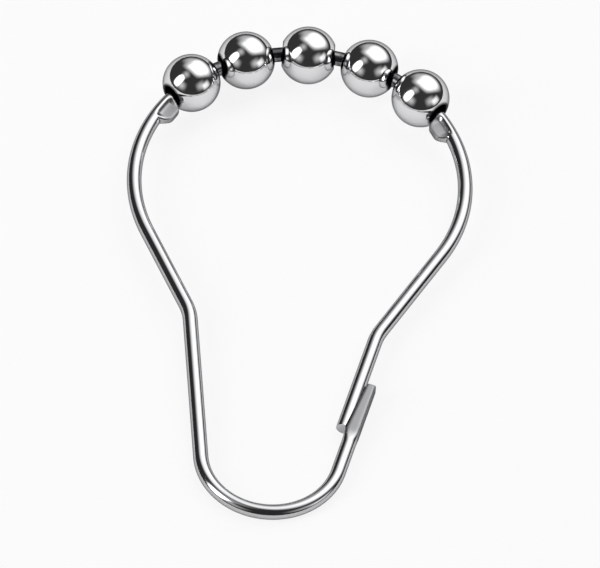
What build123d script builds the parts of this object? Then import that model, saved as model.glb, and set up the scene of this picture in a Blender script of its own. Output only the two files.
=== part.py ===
from build123d import *
from math import acos, asin, atan2, cos, degrees, radians, sin, sqrt
import os

os.makedirs("parts", exist_ok=True)

# A spring-wire hook for a shower curtain: one bent wire with a lapped clasp, and a row of
# drilled balls threaded on its round top, which roll along the curtain rod.
# The hook lies as it rests on a table, with its top towards +Y and its clasp towards +X.
# Its outline is set out in the wire's own plane, from the centre of the round top.

# Driving dimensions, in millimetres and degrees

# Wire and balls
wire_diameter = 2.0
ball_diameter = 8.0
ball_count = 5
ball_gap = 0.7               # free way between neighbouring balls
bore_clearance = 0.5         # between the wire and the wall of a bore, all round
mouth_chamfer = 0.25         # where a bore meets the outside of its ball

# Outline of the loop, along the middle of the wire
top_radius = 22.5            # round top that goes over the rod
waist_radius = 8.0           # outward bend where the loop narrows
back_waist_x = 13.5          # corner of the back leg's bend, left of the middle
back_waist_drop = 0.7        # of that corner, below the circle of the round top
clasp_waist_x = 11.6         # corner of the clasp leg's bend, right of the middle
clasp_waist_drop = 2.7
throat_radius = 9.2          # round bottom that carries the curtain
throat_drop = 23.1           # of its middle, below the circle of the round top
throat_shift = 1.4           # the bottom sits a little towards the back leg

# Clasp: both ends are wedges that lap side by side, along straight outer faces
lap_length = 7.4
lap_start = 8.6              # from the bend's corner to the lap, along the clasp leg
tip_thickness = 1.25         # of each wedge at its tip
blade_width = 2.15           # of the lower wedge, which is pressed square
blade_corner = 0.4
blade_gap = 0.06             # between the two wedges when the clasp is shut
flare_length = 2.2           # from the round wire to the square section

# Pinched ear beside each end ball, which keeps the balls on the round top
ear_length = 4.0
ear_height = 1.3             # beyond the inside of the wire
ear_thickness = 1.0
ear_round = 1.4              # of its corners, seen from above
ear_rim = 0.3                # of its edges
ear_clearance = 0.5          # from the mouth of the end ball to the ear

# Sizes worked out from those above

wire_radius = wire_diameter / 2
ball_radius = ball_diameter / 2
bore_radius = wire_radius + bore_clearance
mouth_radius = bore_radius + mouth_chamfer
mouth_distance = sqrt(ball_radius**2 - mouth_radius**2)
bore_end = mouth_distance - mouth_chamfer

# The balls sit about the wire's arc, so that it clears both mouths and the middle of a bore.
row_radius = (top_radius + sqrt(top_radius**2 - mouth_distance**2)) / 2
ball_pitch = 2 * degrees(asin((ball_diameter + ball_gap) / 2 / row_radius))
end_ball = (ball_count - 1) / 2 * ball_pitch

# The hook lies on its balls and on the bottom of its throat, so its plane leans a little.
throat_bottom = top_radius + throat_drop + throat_radius
lean = asin((ball_radius - wire_radius) / (top_radius + throat_bottom))
centre_height = ball_radius - top_radius * sin(lean)
centre_y = ((throat_bottom - row_radius) * cos(lean) + wire_radius - ball_radius) / 2
hook_plane = Plane(
    origin=(0, centre_y, centre_height), x_dir=(1, 0, 0), z_dir=(0, -sin(lean), cos(lean))
)


def placed(point):
    """A point of the flat outline, carried into the hook's leaning plane."""
    return hook_plane.from_local_coords(point)


def touch_point(corner, centre, radius, side):
    """Where a straight run from the corner touches a circle; side is 1 or -1."""
    towards = corner - centre
    turn = degrees(acos(radius / towards.length))
    return centre + towards.normalized().rotate(Axis.Z, side * turn) * radius


def direction_angle(vector):
    """Direction of a vector in the flat outline, from 0 to 360 degrees."""
    return degrees(atan2(vector.Y, vector.X)) % 360


def polar(radius, angle):
    """Point at a radius and an angle about the centre of the round top."""
    return Vector(radius * cos(radians(angle)), radius * sin(radians(angle)))


# Each leg runs from the round top, round its bend, to the throat.
top_centre = Vector(0, 0)
throat_centre = Vector(-throat_shift, -top_radius - throat_drop)
back_corner = Vector(-back_waist_x, -top_radius - back_waist_drop)
clasp_corner = Vector(clasp_waist_x, -top_radius - clasp_waist_drop)
back_top = touch_point(back_corner, top_centre, top_radius, -1)
clasp_top = touch_point(clasp_corner, top_centre, top_radius, 1)
back_throat = touch_point(back_corner, throat_centre, throat_radius, 1)

# The clasp leg is two lapped wires, the lower one further out by lap_offset.
lap_offset = tip_thickness + blade_gap
inner_throat = touch_point(clasp_corner, throat_centre, throat_radius - lap_offset, -1)
leg_down = (inner_throat - clasp_corner).normalized()
leg_outward = leg_down.rotate(Axis.Z, 90)
clasp_throat = inner_throat + leg_outward * lap_offset
lap_top = clasp_corner + leg_down * lap_start
upper_tip = lap_top + leg_down * lap_length
lap_bottom = upper_tip + leg_outward * lap_offset
flare_bottom = lap_bottom + leg_down * flare_length

top_start = direction_angle(clasp_top) - 360
top_sweep = direction_angle(back_top) - top_start
throat_start = direction_angle(back_throat - throat_centre)
throat_sweep = direction_angle(clasp_throat - throat_centre) - throat_start

# The ears start a little way past the end balls.
ear_start = end_ball + degrees((mouth_distance + ear_clearance) / top_radius)
ear_end = ear_start + degrees(ear_length / top_radius)
ear_peak_radius = top_radius - wire_radius - ear_height


# Ears: thin rounded tabs that are pinched out of the inside of the wire
with BuildPart() as ears:
    for side in (-1, 1):
        front = 90 + side * ear_start
        back = 90 + side * ear_end
        with BuildSketch(hook_plane):
            with BuildLine():
                FilletPolyline(
                    polar(top_radius, front), polar(ear_peak_radius, front),
                    polar(ear_peak_radius, back), polar(top_radius, back), radius=ear_round
                )
                Line(polar(top_radius, back), polar(top_radius, front))
            make_face()
        extrude(amount=ear_thickness / 2, both=True)
    fillet(ears.faces().filter_by(hook_plane).edges(), ear_rim)

# The wire, from its upper wedge over the top and round the throat to its lower wedge
with BuildPart() as hook_wire:
    with BuildLine(hook_plane) as wire_path:
        FilletPolyline(
            placed(upper_tip), placed(clasp_corner), placed(clasp_top), radius=waist_radius
        )
        CenterArc(placed(top_centre), top_radius, top_start, top_sweep)
        FilletPolyline(
            placed(back_top), placed(back_corner), placed(back_throat), radius=waist_radius
        )
        CenterArc(placed(throat_centre), throat_radius, throat_start, throat_sweep)
        Line(placed(clasp_throat), placed(flare_bottom))
    up_the_leg = placed(lap_top) - placed(upper_tip)
    with BuildSketch(Plane(placed(upper_tip), z_dir=up_the_leg)):
        Circle(wire_radius)
    sweep(path=wire_path.line)
    add(ears.part)

    # The upper wedge is ground flat on its outer side, along a slope to its tip.
    with BuildSketch(hook_plane):
        with BuildLine():
            overrun = wire_diameter / lap_length
            slope = leg_down * lap_length - leg_outward * (wire_diameter - tip_thickness)
            slope_start = lap_top + leg_outward * wire_radius - slope * overrun
            slope_end = slope_start + slope * (1 + 2 * overrun)
            clear_of_wire = leg_outward * 2 * wire_diameter
            Polyline(
                slope_start, slope_end, slope_end + clear_of_wire,
                slope_start + clear_of_wire, close=True
            )
        make_face()
    extrude(amount=wire_diameter, both=True, mode=Mode.SUBTRACT)

    # The lower wedge grows out of the round wire and is pressed square, to a thin tip.
    outward = placed(lap_bottom) - placed(upper_tip)
    flare_plane = Plane(placed(flare_bottom), x_dir=outward, z_dir=up_the_leg)
    square_plane = flare_plane.offset(flare_length)
    tip_plane = square_plane.offset(lap_length)
    with BuildSketch(flare_plane) as round_section:
        Circle(wire_radius)
    with BuildSketch(square_plane) as square_section:
        RectangleRounded(wire_diameter, blade_width, blade_corner)
    loft([round_section.sketch, square_section.sketch])
    with BuildSketch(tip_plane) as tip_section:
        with Locations(((wire_diameter - tip_thickness) / 2, 0)):
            RectangleRounded(tip_thickness, blade_width, blade_corner)
    loft([square_section.sketch, tip_section.sketch], ruled=True)

hook_wire.part.label = "hook_wire"
export_step(hook_wire.part, "parts/hook_wire.step")

# The balls: each is a drilled sphere with chamfered mouths, lying on the table
for index in range(ball_count):
    angle = 90 + end_ball - index * ball_pitch
    on_wire = placed(polar(row_radius, angle))
    along_wire = placed(polar(row_radius, angle - 90)) - placed(top_centre)
    ball_centre = Vector(on_wire.X, on_wire.Y, ball_radius)
    ball_plane = Plane(ball_centre, x_dir=along_wire, z_dir=hook_plane.z_dir)
    with BuildPart() as roller_ball:
        with BuildSketch(ball_plane):
            with BuildLine():
                ThreePointArc(
                    (-mouth_distance, mouth_radius), (0, ball_radius), (mouth_distance, mouth_radius)
                )
                Polyline(
                    (mouth_distance, mouth_radius), (bore_end, bore_radius),
                    (-bore_end, bore_radius), (-mouth_distance, mouth_radius)
                )
            make_face()
        revolve(axis=Axis(ball_centre, along_wire))
    node = f"roller_ball_{index + 1}"
    roller_ball.part.label = node
    export_step(roller_ball.part, f"parts/{node}.step")
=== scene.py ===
from math import acos, asin, atan2, copysign, cos, pi, radians, sin, sqrt

import bmesh
import bpy
from mathutils import Matrix, Vector


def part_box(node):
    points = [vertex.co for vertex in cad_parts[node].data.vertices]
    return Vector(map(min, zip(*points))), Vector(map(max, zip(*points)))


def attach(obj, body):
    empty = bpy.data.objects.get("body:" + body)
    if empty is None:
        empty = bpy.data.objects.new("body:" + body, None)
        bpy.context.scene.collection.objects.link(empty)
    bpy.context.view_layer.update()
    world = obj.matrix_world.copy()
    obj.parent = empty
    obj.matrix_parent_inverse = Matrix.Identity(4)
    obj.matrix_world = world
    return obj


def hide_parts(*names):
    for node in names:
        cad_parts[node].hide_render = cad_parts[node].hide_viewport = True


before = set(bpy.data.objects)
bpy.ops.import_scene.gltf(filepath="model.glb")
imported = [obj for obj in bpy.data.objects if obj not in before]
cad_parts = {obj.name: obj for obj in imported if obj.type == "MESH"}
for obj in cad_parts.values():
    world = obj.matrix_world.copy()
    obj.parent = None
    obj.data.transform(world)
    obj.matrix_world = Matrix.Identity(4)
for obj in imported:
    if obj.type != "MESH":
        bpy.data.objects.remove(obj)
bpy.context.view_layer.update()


# The wire: a shower curtain hook bent from one length of round spring wire, plated bright.
# It is drawn from its upper tip, over the round top and round the throat, to its lower tip.
# Its outline is worked out flat, about the middle of the round top, and then laid down.
MM = 0.001
WIRE_RADIUS = 1.0 * MM
BALL_RADIUS = 4.0 * MM
TOP_RADIUS = 22.5 * MM
WAIST_RADIUS = 8.0 * MM
BACK_WAIST_X = 13.5 * MM
BACK_WAIST_DROP = 0.7 * MM       # each drop is taken from the circle of the round top
CLASP_WAIST_X = 11.6 * MM
CLASP_WAIST_DROP = 2.7 * MM
THROAT_RADIUS = 9.2 * MM
THROAT_DROP = 23.1 * MM
THROAT_SHIFT = 1.4 * MM
LAP_START = 8.6 * MM
LAP_LENGTH = 7.4 * MM
TIP_THICKNESS = 1.25 * MM
BLADE_GAP = 0.06 * MM
BLADE_WIDTH = 2.15 * MM
FLARE_LENGTH = 2.2 * MM
RING_SEGMENTS = 56
RING_SPACING = 0.45 * MM

# The hook rests on its balls and on the bottom of its throat, so its plane leans a little.
throat_bottom = TOP_RADIUS + THROAT_DROP + THROAT_RADIUS
lean = asin((BALL_RADIUS - WIRE_RADIUS) / (TOP_RADIUS + throat_bottom))
throat_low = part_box("hook_wire")[0][1]
centre_y = throat_low + WIRE_RADIUS + throat_bottom * cos(lean)
centre_z = BALL_RADIUS - TOP_RADIUS * sin(lean)
lay_down = Matrix.Translation((0, centre_y, centre_z)) @ Matrix.Rotation(lean, 4, "X")


def touch_point(corner, centre, radius, side):
    """Where a straight run from the corner touches a circle; side is 1 or -1."""
    towards = corner - centre
    turn = side * acos(radius / towards.length)
    return centre + Matrix.Rotation(turn, 3, "Z") @ towards.normalized() * radius


# Each leg runs from the round top, round its bend, to the throat. The leg with the clasp is two
# lapped wires, the lower one further out.
top_centre = Vector((0, 0, 0))
throat_centre = Vector((-THROAT_SHIFT, -TOP_RADIUS - THROAT_DROP, 0))
back_corner = Vector((-BACK_WAIST_X, -TOP_RADIUS - BACK_WAIST_DROP, 0))
clasp_corner = Vector((CLASP_WAIST_X, -TOP_RADIUS - CLASP_WAIST_DROP, 0))
back_top = touch_point(back_corner, top_centre, TOP_RADIUS, -1)
clasp_top = touch_point(clasp_corner, top_centre, TOP_RADIUS, 1)
back_throat = touch_point(back_corner, throat_centre, THROAT_RADIUS, 1)
lap_offset = TIP_THICKNESS + BLADE_GAP
inner_throat = touch_point(clasp_corner, throat_centre, THROAT_RADIUS - lap_offset, -1)
leg_down = (inner_throat - clasp_corner).normalized()
leg_outward = Matrix.Rotation(pi / 2, 3, "Z") @ leg_down
clasp_throat = inner_throat + leg_outward * lap_offset
lap_top = clasp_corner + leg_down * LAP_START
upper_tip = lap_top + leg_down * LAP_LENGTH
lap_bottom = upper_tip + leg_outward * lap_offset
flare_bottom = lap_bottom + leg_down * FLARE_LENGTH

wire = bmesh.new()
unbent = wire.verts.layers.float_vector.new("unbent")
pressed = wire.verts.layers.float.new("pressed")
# how much painted shade the wire gets under the balls
shade_under_balls = wire.verts.layers.float.new("shade_under_balls")


def draw_on(ring, step, length, count):
    """Draws the wire on from a ring of edges, each new ring moved by one step."""
    for _ in range(count):
        made = bmesh.ops.extrude_edge_only(wire, edges=ring)["geom"]
        verts = [part for part in made if isinstance(part, bmesh.types.BMVert)]
        bmesh.ops.transform(wire, matrix=step, verts=verts)
        for vert in verts:
            vert[unbent] += Vector((0, 0, length / count))
        new = set(verts)
        edges = [part for part in made if isinstance(part, bmesh.types.BMEdge)]
        ring = [edge for edge in edges if edge.verts[0] in new and edge.verts[1] in new]
    return ring


def draw_straight(ring, start, end):
    """A straight run of wire."""
    run = end - start
    count = max(1, round(run.length / RING_SPACING))
    return draw_on(ring, Matrix.Translation(run / count), run.length, count)


def draw_bend(ring, centre, radius, angle, spacing=RING_SPACING):
    """A bend of wire about a centre, through a signed angle."""
    length = abs(angle) * radius
    count = max(1, round(length / spacing))
    turn = Matrix.Rotation(angle / count, 4, "Z")
    step = Matrix.Translation(centre) @ turn @ Matrix.Translation(-centre)
    return draw_on(ring, step, length, count)


def waist(ring, start, corner, end):
    """A straight run, the bend at a corner and the next straight run."""
    arrive = (corner - start).normalized()
    leave = (end - corner).normalized()
    angle = atan2(arrive.cross(leave).z, arrive.dot(leave))
    inset = WAIST_RADIUS * abs(sin(angle / 2) / cos(angle / 2))
    side = 1 if angle > 0 else -1
    square_on = Matrix.Rotation(side * pi / 2, 3, "Z") @ arrive
    bend_start = corner - arrive * inset
    ring = draw_straight(ring, start, bend_start)
    ring = draw_bend(ring, bend_start + square_on * WAIST_RADIUS, WAIST_RADIUS, angle)
    return draw_straight(ring, corner + leave * inset, end)


def sweep_between(start, end):
    """The angle from one direction round to another, from 0 to one turn."""
    return (atan2(end.y, end.x) - atan2(start.y, start.x)) % (2 * pi)


# The first ring stands across the upper tip. Its unbent place is noted as if the wire were
# a straight rod, so that the drawing marks of the finish can run along it.
bmesh.ops.create_circle(wire, segments=RING_SEGMENTS, radius=WIRE_RADIUS)
for vert in wire.verts:
    vert[unbent] = vert.co
stand = leg_down.to_track_quat("-Z", "Y").to_matrix().to_4x4()
bmesh.ops.transform(wire, matrix=Matrix.Translation(upper_tip) @ stand, verts=wire.verts)
bmesh.ops.contextual_create(wire, geom=wire.edges)
ring = waist(list(wire.edges), upper_tip, clasp_corner, clasp_top)

# The round top has its rings closer together beside the end balls, where the ears will be.
BORE_RADIUS = 1.5 * MM
MOUTH_CHAMFER = 0.25 * MM
BALL_GAP = 0.7 * MM
BALL_COUNT = 5
EAR_LENGTH = 4.0 * MM
EAR_CLEARANCE = 0.5 * MM
EAR_RING_SPACING = 0.1 * MM
mouth_distance = sqrt(BALL_RADIUS**2 - (BORE_RADIUS + MOUTH_CHAMFER) ** 2)
row_radius = (TOP_RADIUS + sqrt(TOP_RADIUS**2 - mouth_distance**2)) / 2
ball_pitch = 2 * asin((2 * BALL_RADIUS + BALL_GAP) / 2 / row_radius)
end_ball = (BALL_COUNT - 1) / 2 * ball_pitch
ear_start = end_ball + (mouth_distance + EAR_CLEARANCE) / TOP_RADIUS
ear_end = ear_start + EAR_LENGTH / TOP_RADIUS
reached = atan2(clasp_top.y, clasp_top.x)
top_end = reached + sweep_between(clasp_top, back_top)
for bend_end, spacing in (
        (pi / 2 - ear_end, RING_SPACING), (pi / 2 - ear_start, EAR_RING_SPACING),
        (pi / 2 + ear_start, RING_SPACING), (pi / 2 + ear_end, EAR_RING_SPACING),
        (top_end, RING_SPACING)):
    ring = draw_bend(ring, top_centre, TOP_RADIUS, bend_end - reached, spacing)
    reached = bend_end
ring = waist(ring, back_top, back_corner, back_throat)
throat_sweep = sweep_between(back_throat - throat_centre, clasp_throat - throat_centre)
ring = draw_bend(ring, throat_centre, THROAT_RADIUS, throat_sweep)
ring = draw_straight(ring, clasp_throat, flare_bottom)


def smooth_step(low, high, value):
    """Rises softly from 0 at low to 1 at high."""
    share = min(max((value - low) / (high - low), 0), 1)
    return share * share * (3 - 2 * share)


def press(verts, middle, squareness, width):
    """Presses a ring of the wire between jaws: squareness 2 is round, a larger one is squarer."""
    for vert in verts:
        out, up = (vert.co - middle).dot(leg_outward), vert.co.z
        angle = atan2(up, out)
        flat_out = abs(cos(angle)) ** squareness
        flat_up = (abs(sin(angle)) * WIRE_RADIUS * 2 / width) ** squareness
        reach = WIRE_RADIUS / (flat_out + flat_up) ** (1 / squareness)
        new_out, new_up = reach * cos(angle), reach * sin(angle)
        vert.co += leg_outward * (new_out - out) + Vector((0, 0, new_up - up))


def thin(verts, middle, share):
    """Thins a ring of the wire to a share, from its inner side; its outer side stays in place."""
    for vert in verts:
        from_outside = WIRE_RADIUS - (vert.co - middle).dot(leg_outward)
        vert.co += leg_outward * from_outside * (1 - share)


def draw_up(ring, length, count):
    """One ring more up the leg, of a count that makes up the length; gives its points too."""
    step = Matrix.Translation(-leg_down * length / count)
    ring = draw_on(ring, step, length / count, 1)
    return ring, {vert for edge in ring for vert in edge.verts}


# The lower tip flares out of the round wire, is pressed square and thins to a wedge.
ROUND = 2.0
SQUARE = 5.0
FLARE_RINGS = 12
LAP_RINGS = 24
full_thickness = 2 * WIRE_RADIUS
for index in range(1, FLARE_RINGS + 1):
    ring, ring_verts = draw_up(ring, FLARE_LENGTH, FLARE_RINGS)
    share = index / FLARE_RINGS
    eased = smooth_step(0, 1, share)
    middle = flare_bottom - leg_down * FLARE_LENGTH * share
    press(ring_verts, middle, ROUND + (SQUARE - ROUND) * eased,
          full_thickness + (BLADE_WIDTH - full_thickness) * eased)
    for vert in ring_verts:
        vert[pressed] = eased
thickness = full_thickness
for index in range(1, LAP_RINGS + 1):
    ring, ring_verts = draw_up(ring, LAP_LENGTH, LAP_RINGS)
    share = index / LAP_RINGS
    thinner = full_thickness - (full_thickness - TIP_THICKNESS) * share
    thin(ring_verts, lap_bottom - leg_down * LAP_LENGTH * share, thinner / thickness)
    thickness = thinner
bmesh.ops.contextual_create(wire, geom=ring)

# The upper tip is ground to a wedge on its outer side. Only the wire near the tip is cut.
NEAR_TIP = 1.3 * LAP_LENGTH
CUT_TOLERANCE = 1e-8
slope_point = lap_top + leg_outward * WIRE_RADIUS
slope = leg_down * LAP_LENGTH - leg_outward * (full_thickness - TIP_THICKNESS)
slope_normal = Vector((-slope.y, slope.x, 0)).normalized()
tip_faces = [face for face in wire.faces
             if max(vert[unbent].z for vert in face.verts) < NEAR_TIP]
tip_parts = set(tip_faces)
for face in tip_faces:
    tip_parts.update(face.edges)
    tip_parts.update(face.verts)
bmesh.ops.bisect_plane(
    wire, geom=list(tip_parts), dist=CUT_TOLERANCE, plane_co=slope_point, plane_no=slope_normal,
    clear_outer=True)
bmesh.ops.holes_fill(wire, edges=[edge for edge in wire.edges if edge.is_boundary])

# The sharp edges of both tips are broken by the plating.
BROKEN_EDGE = 0.07 * MM
SHARP_ANGLE = radians(38)
sharp = [edge for edge in wire.edges
         if edge.is_manifold and edge.calc_face_angle(0) > SHARP_ANGLE]
bmesh.ops.bevel(
    wire, geom=sharp, offset=BROKEN_EDGE, offset_type="OFFSET", segments=3, profile=0.5,
    affect="EDGES", clamp_overlap=True, material=-1)

# A rounded ear, pinched out of the wire beside each end ball, keeps the balls in their place.
# Angles are taken round the wire, from its inner side. Each pair of values is where a soft
# change starts and ends.
EAR_HEIGHT = 1.3 * MM
EAR_ROUND = 1.5 * MM
EAR_THICKNESS = 1.0 * MM
EAR_EDGE = radians(28)
EAR_BULGE = 2.2                  # this and the next are powers that shape its outline
EAR_FULLNESS = 0.7
PINCH_RUN = 1.0 * MM
RISE_ANGLES = radians(20), radians(62)
PINCH_ANGLES = radians(48), radians(100)
TOOL_MARK_ANGLES = radians(50), radians(95)
SHADE_UNDER_BALLS_END = -1.0 * MM, 0.5 * MM   # along the wire, from the start of the ear

for vert in wire.verts:
    way = (abs(atan2(vert.co.x, vert.co.y)) - ear_start) * TOP_RADIUS
    # Under the balls the wire is marked for painted shade, which fades out just past the start of
    # the ear.
    vert[shade_under_balls] = 1 - smooth_step(*SHADE_UNDER_BALLS_END, way)
    if not 0 <= way <= EAR_LENGTH:
        continue
    radius = sqrt(vert.co.x**2 + vert.co.y**2)
    turn = abs(atan2(vert.co.z, TOP_RADIUS - radius))
    from_end = min(way, EAR_LENGTH - way)
    short = 1 - min(from_end, EAR_ROUND) / EAR_ROUND
    crown = (1 - short**EAR_BULGE) ** EAR_FULLNESS
    rise = EAR_HEIGHT * crown * (1 - smooth_step(*RISE_ANGLES, turn))
    pinch = smooth_step(0, PINCH_RUN, from_end) * (1 - smooth_step(*PINCH_ANGLES, turn))
    vert[pressed] = crown * (1 - smooth_step(*TOOL_MARK_ANGLES, turn))
    round_edge = sin(min(turn / EAR_EDGE, 1) * pi / 2)
    flat_side = copysign(EAR_THICKNESS / 2 * round_edge, vert.co.z)
    vert.co.z += (flat_side - vert.co.z) * pinch
    shrink = (radius - rise) / radius
    vert.co.x *= shrink
    vert.co.y *= shrink

bmesh.ops.recalc_face_normals(wire, faces=wire.faces)
bmesh.ops.transform(wire, matrix=lay_down, verts=wire.verts)

SMOOTH_ANGLE = radians(40)


def finished_piece(name, made):
    """Turns a bmesh into a smooth object that sits at the origin."""
    mesh = bpy.data.meshes.new(name)
    for face in made.faces:
        face.smooth = True
    made.to_mesh(mesh)
    made.free()
    mesh.set_sharp_from_angle(angle=SMOOTH_ANGLE)
    piece = bpy.data.objects.new(name, mesh)
    bpy.context.scene.collection.objects.link(piece)
    return piece


def value_node(tree, kind, place, **sockets):
    """Adds a node and sets the named inputs that are given."""
    node = tree.nodes.new(kind)
    node.location = place
    for name, value in sockets.items():
        node.inputs[name.replace("_", " ")].default_value = value
    return node


def attribute_node(tree, place, name):
    """Adds a node that reads a value kept on the points of the mesh."""
    node = value_node(tree, "ShaderNodeAttribute", place)
    node.attribute_name = name
    return node


def math_node(tree, place, operation):
    """Adds a node that does one sum."""
    node = value_node(tree, "ShaderNodeMath", place)
    node.operation = operation
    return node


def colour_mix(tree, place, share):
    """Adds a mix of two colours; gives the sockets of both colours and of the result."""
    mix = value_node(tree, "ShaderNodeMix", place)
    mix.data_type = "RGBA"
    tree.links.new(share, mix.inputs["Factor"])
    first, second = [socket for socket in mix.inputs if socket.type == "RGBA"]
    return first, second, next(socket for socket in mix.outputs if socket.type == "RGBA")


# Both plated finishes share one effect: a soft haze that varies the gloss.
plating = bpy.data.node_groups.new("plating_haze", "ShaderNodeTree")
plating.interface.new_socket("Vector", in_out="INPUT", socket_type="NodeSocketVector")
for socket in ("Haze Scale", "Glossiest", "Dullest"):
    plating.interface.new_socket(socket, in_out="INPUT", socket_type="NodeSocketFloat")
plating.interface.new_socket("Roughness", in_out="OUTPUT", socket_type="NodeSocketFloat")
group_in = value_node(plating, "NodeGroupInput", (0, 0))
group_out = value_node(plating, "NodeGroupOutput", (640, 0))
haze = value_node(plating, "ShaderNodeTexNoise", (200, 0), Detail=5.0, Roughness=0.6)
haze_range = value_node(plating, "ShaderNodeMapRange", (420, 0), From_Min=0.35, From_Max=0.72)
link = plating.links.new
link(group_in.outputs["Vector"], haze.inputs["Vector"])
link(group_in.outputs["Haze Scale"], haze.inputs["Scale"])
link(group_in.outputs["Glossiest"], haze_range.inputs["To Min"])
link(group_in.outputs["Dullest"], haze_range.inputs["To Max"])
link(haze.outputs["Fac"], haze_range.inputs["Value"])
link(haze_range.outputs["Result"], group_out.inputs["Roughness"])

# The rim of a plated part, where it is seen at a slant, mirrors less than its middle.
RIM_TINT = (0.25, 0.252, 0.26, 1)


def plated_metal(name):
    """A new plated metal; gives the material, its nodes, its shader and its haze."""
    material = bpy.data.materials.new(name)
    material.use_nodes = True
    tree = material.node_tree
    metal = tree.nodes["Principled BSDF"]
    metal.inputs["Metallic"].default_value = 1.0
    metal.inputs["Specular Tint"].default_value = RIM_TINT
    haze = value_node(tree, "ShaderNodeGroup", (-400, 200))
    haze.node_tree = plating
    return material, tree, metal, haze


# The wire's finish: bright plating over drawn wire, with faint marks that run along it. The
# pressed blade and the ears are duller, with the texture of the tool that squeezed them. Under
# and between the balls the wire is painted darker, in patches: painted shade, with its own gloss.
PLATED_WIRE = (0.57, 0.573, 0.581, 1)
PRESSED_WIRE = (0.33, 0.332, 0.338, 1)
# painted shade under and between the balls, and its gloss
SHADED_WIRE = (0.08, 0.08, 0.083, 1)
PRESSED_ROUGHNESS = 0.42
SHADED_WIRE_ROUGHNESS = 0.18
wire_finish, tree, metal, finish = plated_metal("plated_wire")
finish.inputs["Haze Scale"].default_value = 420.0
finish.inputs["Glossiest"].default_value = 0.05
finish.inputs["Dullest"].default_value = 0.13
rod_place = attribute_node(tree, (-1000, 0), "unbent")
squeezed = attribute_node(tree, (-1000, -600), "pressed")
under_balls = attribute_node(tree, (-1000, 700), "shade_under_balls")
link = tree.links.new

# The marks that run along the wire, and over them those of the tool
stretch = value_node(tree, "ShaderNodeMapping", (-800, 0), Scale=(1.0, 1.0, 0.04))
marks = value_node(
    tree, "ShaderNodeTexNoise", (-600, -300), Scale=4200.0, Detail=3.0, Roughness=0.55)
mark_bump = value_node(tree, "ShaderNodeBump", (-200, -300), Strength=0.06, Distance=0.02 * MM)
tool_marks = value_node(
    tree, "ShaderNodeTexNoise", (-600, -600), Scale=1500.0, Detail=6.0, Roughness=0.7)
tool_strength = value_node(tree, "ShaderNodeMapRange", (-200, -600), To_Min=0.0, To_Max=0.35)
tool_bump = value_node(tree, "ShaderNodeBump", (0, -300), Distance=0.04 * MM)
link(rod_place.outputs["Vector"], stretch.inputs["Vector"])
link(stretch.outputs["Vector"], marks.inputs["Vector"])
link(marks.outputs["Fac"], mark_bump.inputs["Height"])
link(rod_place.outputs["Vector"], tool_marks.inputs["Vector"])
link(squeezed.outputs["Fac"], tool_strength.inputs["Value"])
link(tool_strength.outputs["Result"], tool_bump.inputs["Strength"])
link(tool_marks.outputs["Fac"], tool_bump.inputs["Height"])
link(mark_bump.outputs["Normal"], tool_bump.inputs["Normal"])
link(tool_bump.outputs["Normal"], metal.inputs["Normal"])

# The painted shade under the balls, broken into patches
patches = value_node(
    tree, "ShaderNodeTexNoise", (-800, 500), Scale=700.0, Detail=4.0, Roughness=0.6)
patch_range = value_node(
    tree, "ShaderNodeMapRange", (-600, 500), From_Min=0.4, From_Max=0.6, To_Min=0.6)
painted_shade = math_node(tree, (-400, 500), "MULTIPLY")
link(rod_place.outputs["Vector"], patches.inputs["Vector"])
link(patches.outputs["Fac"], patch_range.inputs["Value"])
link(patch_range.outputs["Result"], painted_shade.inputs[0])
link(under_balls.outputs["Fac"], painted_shade.inputs[1])

# Colour and gloss, each first changed where the wire is pressed and then under the balls, where
# the colour is painted shade
plated, dull, pressed_colour = colour_mix(tree, (-200, 700), squeezed.outputs["Fac"])
unshaded, dark, wire_colour = colour_mix(tree, (0, 700), painted_shade.outputs["Value"])
plated.default_value = PLATED_WIRE
dull.default_value = PRESSED_WIRE
dark.default_value = SHADED_WIRE
link(pressed_colour, unshaded)
link(wire_colour, metal.inputs["Base Color"])
pressed_gloss = value_node(tree, "ShaderNodeMix", (-200, 200), B=PRESSED_ROUGHNESS)
shaded_gloss = value_node(tree, "ShaderNodeMix", (0, 200), B=SHADED_WIRE_ROUGHNESS)
link(rod_place.outputs["Vector"], finish.inputs["Vector"])
link(finish.outputs["Roughness"], pressed_gloss.inputs["A"])
link(squeezed.outputs["Fac"], pressed_gloss.inputs["Factor"])
link(pressed_gloss.outputs["Result"], shaded_gloss.inputs["A"])
link(painted_shade.outputs["Value"], shaded_gloss.inputs["Factor"])
link(shaded_gloss.outputs["Result"], metal.inputs["Roughness"])

wire_loop = finished_piece("wire_loop", wire)
wire_loop.data.materials.append(wire_finish)
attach(wire_loop, "wire")
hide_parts("hook_wire")


# The balls: five drilled steel balls, polished and plated, threaded loosely on the round top.
# Each is turned about its bore, with the mouths of the bore rounded over. Each has its own
# place in the pattern of the finish, so that no two of them look alike.
ARC_STEPS = 36
TURN_STEPS = 96
MOUTH_SEGMENTS = 6
MERGE_DISTANCE = 1e-7
PATTERN_STEP = 0.1

# Their finish: a mirror plating with tiny pits, with fine scratches round the band on which
# the ball rolls. The mouths of the bore are painted darker and duller: painted shade.
PLATED_BALL = (0.83, 0.833, 0.84, 1)
# painted shade round the mouths of the bore
SHADED_MOUTH = (0.08, 0.08, 0.082, 1)
MOUTH_ROUGHNESS = 0.25
ball_finish, tree, metal, finish = plated_metal("plated_ball")
finish.inputs["Haze Scale"].default_value = 260.0
finish.inputs["Glossiest"].default_value = 0.02
finish.inputs["Dullest"].default_value = 0.08
own_place = attribute_node(tree, (-1000, 0), "own_place")
link = tree.links.new

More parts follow.
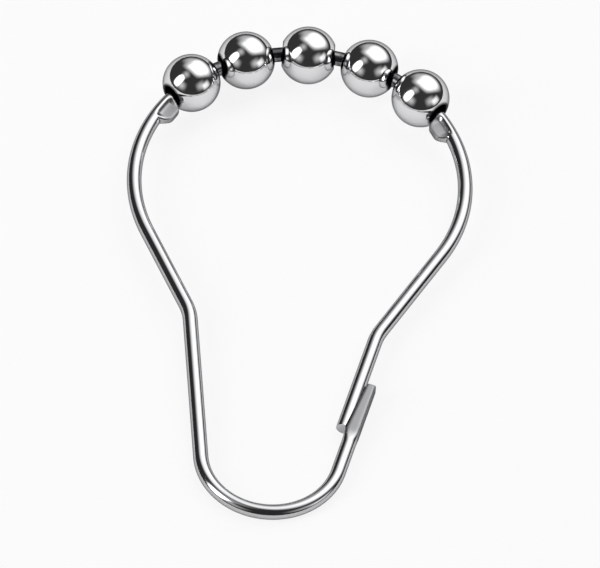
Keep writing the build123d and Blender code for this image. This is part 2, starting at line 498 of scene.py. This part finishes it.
# The band is found by the distance along the bore from the ball's middle. Pits lie under the
# scratches.
split = value_node(tree, "ShaderNodeSeparateXYZ", (-800, 500))
along_bore = math_node(tree, (-600, 500), "PINGPONG")
along_bore.inputs[1].default_value = PATTERN_STEP / 2
band = value_node(
    tree, "ShaderNodeMapRange", (-400, 500), From_Min=0.4 * MM, From_Max=1.6 * MM,
    To_Min=1.0, To_Max=0.0)
band.interpolation_type = "SMOOTHSTEP"
pits = value_node(tree, "ShaderNodeTexVoronoi", (-600, -300), Scale=2200.0)
pit_depth = value_node(tree, "ShaderNodeMapRange", (-400, -300), From_Min=0.0, From_Max=0.16)
pit_bump = value_node(tree, "ShaderNodeBump", (-200, -300), Strength=0.04, Distance=0.02 * MM)
stretch = value_node(tree, "ShaderNodeMapping", (-800, -600), Scale=(1.0, 0.05, 0.05))
scratches = value_node(
    tree, "ShaderNodeTexNoise", (-600, -600), Scale=9000.0, Detail=3.0, Roughness=0.6)
scratch_depth = value_node(tree, "ShaderNodeMapRange", (-200, -600), To_Min=0.004, To_Max=0.05)
scratch_bump = value_node(tree, "ShaderNodeBump", (0, -300), Distance=0.02 * MM)
link(own_place.outputs["Vector"], split.inputs["Vector"])
link(split.outputs["X"], along_bore.inputs[0])
link(along_bore.outputs["Value"], band.inputs["Value"])
link(own_place.outputs["Vector"], pits.inputs["Vector"])
link(pits.outputs["Distance"], pit_depth.inputs["Value"])
link(pit_depth.outputs["Result"], pit_bump.inputs["Height"])
link(own_place.outputs["Vector"], stretch.inputs["Vector"])
link(stretch.outputs["Vector"], scratches.inputs["Vector"])
link(scratches.outputs["Fac"], scratch_bump.inputs["Height"])
link(band.outputs["Result"], scratch_depth.inputs["Value"])
link(scratch_depth.outputs["Result"], scratch_bump.inputs["Strength"])
link(pit_bump.outputs["Normal"], scratch_bump.inputs["Normal"])
link(scratch_bump.outputs["Normal"], metal.inputs["Normal"])

# The painted shade round the mouths is found by the distance from the middle of the bore.
across_bore = value_node(tree, "ShaderNodeMapping", (-800, 900), Scale=(0.0, 1.0, 1.0))
from_bore = value_node(tree, "ShaderNodeVectorMath", (-600, 900))
from_bore.operation = "LENGTH"
mouth_shade = value_node(
    tree, "ShaderNodeMapRange", (-400, 900), From_Min=1.7 * MM, From_Max=2.1 * MM,
    To_Min=1.0, To_Max=0.0)
mouth_shade.interpolation_type = "SMOOTHSTEP"
link(own_place.outputs["Vector"], across_bore.inputs["Vector"])
link(across_bore.outputs["Vector"], from_bore.inputs[0])
link(from_bore.outputs["Value"], mouth_shade.inputs["Value"])

# Colour and gloss, the colour darkened round the mouths as painted shade
bright, dark, ball_colour = colour_mix(tree, (0, 900), mouth_shade.outputs["Result"])
bright.default_value = PLATED_BALL
dark.default_value = SHADED_MOUTH
link(ball_colour, metal.inputs["Base Color"])
rolled_gloss = value_node(tree, "ShaderNodeMapRange", (-200, 500), To_Min=0.0, To_Max=0.05)
gloss = math_node(tree, (0, 500), "ADD")
mouth_gloss = value_node(tree, "ShaderNodeMix", (200, 500), B=MOUTH_ROUGHNESS)
link(own_place.outputs["Vector"], finish.inputs["Vector"])
link(band.outputs["Result"], rolled_gloss.inputs["Value"])
link(finish.outputs["Roughness"], gloss.inputs[0])
link(rolled_gloss.outputs["Result"], gloss.inputs[1])
link(gloss.outputs["Value"], mouth_gloss.inputs["A"])
link(mouth_shade.outputs["Result"], mouth_gloss.inputs["Factor"])
link(mouth_gloss.outputs["Result"], metal.inputs["Roughness"])

# The outline of a ball is spun from one point of a mouth, closed along the wall of the bore
# and turned about it.
bore_end = sqrt(BALL_RADIUS**2 - BORE_RADIUS**2)
mouth_angle = atan2(BORE_RADIUS, bore_end)
for index in range(BALL_COUNT):
    ball = bmesh.new()
    start = bmesh.ops.create_vert(ball, co=(bore_end, BORE_RADIUS, 0))["vert"]
    bmesh.ops.spin(
        ball, geom=start, cent=(0, 0, 0), axis=(0, 0, 1), angle=pi - 2 * mouth_angle,
        steps=ARC_STEPS, use_duplicate=False)
    ball.verts.ensure_lookup_table()
    first, last = ball.verts[0], ball.verts[len(ball.verts) - 1]
    bmesh.ops.contextual_create(ball, geom=[first, last])
    bmesh.ops.spin(
        ball, geom=list(ball.verts) + list(ball.edges), cent=(0, 0, 0), axis=(1, 0, 0),
        angle=2 * pi, steps=TURN_STEPS, use_merge=True, use_duplicate=False)
    bmesh.ops.remove_doubles(ball, verts=ball.verts, dist=MERGE_DISTANCE)
    bmesh.ops.recalc_face_normals(ball, faces=ball.faces)
    mouths = [edge for edge in ball.edges
              if edge.is_manifold and edge.calc_face_angle(0) > SMOOTH_ANGLE]
    bmesh.ops.bevel(
        ball, geom=mouths, offset=MOUTH_CHAMFER, offset_type="OFFSET", segments=MOUTH_SEGMENTS,
        profile=0.5, affect="EDGES", clamp_overlap=True, material=-1)
    own = ball.verts.layers.float_vector.new("own_place")
    for vert in ball.verts:
        vert[own] = vert.co + Vector((PATTERN_STEP * index, 0, 0))
    angle = pi / 2 + end_ball - index * ball_pitch
    on_row = lay_down @ Vector((row_radius * cos(angle), row_radius * sin(angle), 0))
    seat = Matrix.Translation((on_row.x, on_row.y, BALL_RADIUS))
    turn = Matrix.Rotation(lean, 4, "X") @ Matrix.Rotation(angle - pi / 2, 4, "Z")
    bmesh.ops.transform(ball, matrix=seat @ turn, verts=ball.verts)
    number = index + 1
    polished_ball = finished_piece(f"polished_ball_{number}", ball)
    polished_ball.data.materials.append(ball_finish)
    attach(polished_ball, f"ball_{number}")
    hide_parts(f"roller_ball_{number}")


# The floor: a plain white table, which keeps the soft shadow of the hook. The metal shows it
# too, a little greyer than the camera sees it.
FLOOR_SIZE = 6.0
WHITE_TO_CAMERA = 0.86
WHITE_IN_METAL = 0.3
floor_mesh = bpy.data.meshes.new("floor")
slab = bmesh.new()
bmesh.ops.create_grid(slab, x_segments=1, y_segments=1, size=FLOOR_SIZE / 2)
slab.to_mesh(floor_mesh)
slab.free()
floor = bpy.data.objects.new("floor", floor_mesh)
bpy.context.scene.collection.objects.link(floor)
paper = bpy.data.materials.new("white_floor")
paper.use_nodes = True
tree = paper.node_tree
tree.nodes.clear()
path = value_node(tree, "ShaderNodeLightPath", (-1000, 300))
mirrored = math_node(tree, (-800, 300), "ADD")
in_metal = value_node(
    tree, "ShaderNodeMapRange", (-600, 300), To_Min=0.0, To_Max=WHITE_IN_METAL)
to_camera = value_node(
    tree, "ShaderNodeMapRange", (-600, 600), To_Min=0.0, To_Max=WHITE_TO_CAMERA)
whiteness = math_node(tree, (-400, 300), "MAXIMUM")
matt = value_node(tree, "ShaderNodeBsdfDiffuse", (-400, 0), Color=(0.9, 0.9, 0.9, 1))
glow = value_node(tree, "ShaderNodeEmission", (-400, -200), Color=(1, 1, 1, 1), Strength=1.0)
blend = value_node(tree, "ShaderNodeMixShader", (-200, 0))
output = value_node(tree, "ShaderNodeOutputMaterial", (0, 0))
link = tree.links.new
link(path.outputs["Is Camera Ray"], to_camera.inputs["Value"])
link(path.outputs["Is Glossy Ray"], mirrored.inputs[0])
link(path.outputs["Is Transmission Ray"], mirrored.inputs[1])
link(mirrored.outputs["Value"], in_metal.inputs["Value"])
link(to_camera.outputs["Result"], whiteness.inputs[0])
link(in_metal.outputs["Result"], whiteness.inputs[1])
link(whiteness.outputs["Value"], blend.inputs["Fac"])
link(matt.outputs["BSDF"], blend.inputs[1])
link(glow.outputs["Emission"], blend.inputs[2])
link(blend.outputs["Shader"], output.inputs["Surface"])
floor_mesh.materials.append(paper)


# The studio: a dark room with soft boxes, which the metal shows as white patches. The light
# of each one fades out towards its edges.
HALF_FACE = 0.5    # the face of a lamp runs from 0 to 1, and its light fades at each edge


def soft_box(name, direction, distance, width, height, brightness, fade):
    """An area lamp that faces the hook; brightness 1 looks white in a mirror."""
    lamp = bpy.data.lights.new(name, "AREA")
    lamp.shape = "RECTANGLE"
    lamp.size = width
    lamp.size_y = height
    lamp.energy = brightness * pi * width * height
    lamp.use_nodes = True
    tree = lamp.node_tree
    place = value_node(tree, "ShaderNodeNewGeometry", (-800, 0))
    parts = value_node(tree, "ShaderNodeSeparateXYZ", (-600, 0))
    both = math_node(tree, (0, 0), "MULTIPLY")
    tree.links.new(place.outputs["Parametric"], parts.inputs["Vector"])
    for index, axis in enumerate(("X", "Y")):
        edge = math_node(tree, (-400, -200 * index), "PINGPONG")
        edge.inputs[1].default_value = HALF_FACE
        fall = value_node(tree, "ShaderNodeMapRange", (-200, -200 * index), From_Max=fade)
        fall.interpolation_type = "SMOOTHSTEP"
        tree.links.new(parts.outputs[axis], edge.inputs[0])
        tree.links.new(edge.outputs["Value"], fall.inputs["Value"])
        tree.links.new(fall.outputs["Result"], both.inputs[index])
    tree.links.new(both.outputs["Value"], tree.nodes["Emission"].inputs["Strength"])
    box = bpy.data.objects.new(name, lamp)
    out = Vector(direction).normalized()
    box.location = out * distance
    box.rotation_euler = out.to_track_quat("Z", "Y").to_euler()
    bpy.context.scene.collection.objects.link(box)


# Direction from the hook, distance, width, height, brightness, and the depth of the faded edge
soft_box("left_box", (-0.78, -0.30, 0.56), 1.6, 0.95, 1.7, 11.0, 0.5)
soft_box("back_box", (0.40, 0.46, 0.79), 1.8, 3.1, 3.6, 2.2, 0.45)
soft_box("low_back_box", (0.0, 0.87, 0.50), 2.0, 2.4, 1.8, 0.5, 0.4)
soft_box("high_box", (-0.24, 0.52, 0.82), 1.9, 1.3, 1.6, 0.65, 0.5)
soft_box("top_left_box", (-0.36, -0.10, 0.93), 2.0, 1.5, 1.3, 0.5, 0.5)
soft_box("right_box", (0.88, -0.36, 0.31), 1.9, 1.5, 1.1, 1.0, 0.4)
soft_box("front_left_box", (-0.64, -0.62, 0.45), 2.0, 2.0, 1.7, 0.6, 0.5)
soft_box("front_right_box", (0.64, -0.60, 0.48), 2.0, 2.0, 1.7, 0.55, 0.5)

ROOM_IN_METAL = 0.04
world = bpy.data.worlds.new("dark_room")
world.use_nodes = True
bpy.context.scene.world = world
tree = world.node_tree
room = tree.nodes["Background"]
room.inputs["Color"].default_value = (0.9, 0.9, 0.9, 1)
path = value_node(tree, "ShaderNodeLightPath", (-500, 0))
level = value_node(
    tree, "ShaderNodeMapRange", (-300, 0), To_Min=ROOM_IN_METAL, To_Max=1.0)
tree.links.new(path.outputs["Is Camera Ray"], level.inputs["Value"])
tree.links.new(level.outputs["Result"], room.inputs["Strength"])


# The camera looks down on the hook from the side of its throat, as in the photograph, and is
# rolled a little, as the hook was off to one side there.
CAMERA_PLACE = Vector((-0.00004, -0.47688, 0.57857))
CAMERA_AIM = Vector((0.00093, -0.00307, 0.003))
CAMERA_ROLL = radians(3.93)
SENSOR_WIDTH = 36.0
LENS_LENGTH = 334.3
camera_data = bpy.data.cameras.new("camera")
camera_data.sensor_width = SENSOR_WIDTH
camera_data.lens = LENS_LENGTH
camera = bpy.data.objects.new("camera", camera_data)
camera.location = CAMERA_PLACE
looking = (CAMERA_AIM - CAMERA_PLACE).to_track_quat("-Z", "Y").to_matrix()
camera.rotation_euler = (looking @ Matrix.Rotation(CAMERA_ROLL, 3, "Z")).to_euler()
bpy.context.scene.collection.objects.link(camera)
bpy.context.scene.camera = camera
bpy.context.scene.view_settings.view_transform = "Standard"
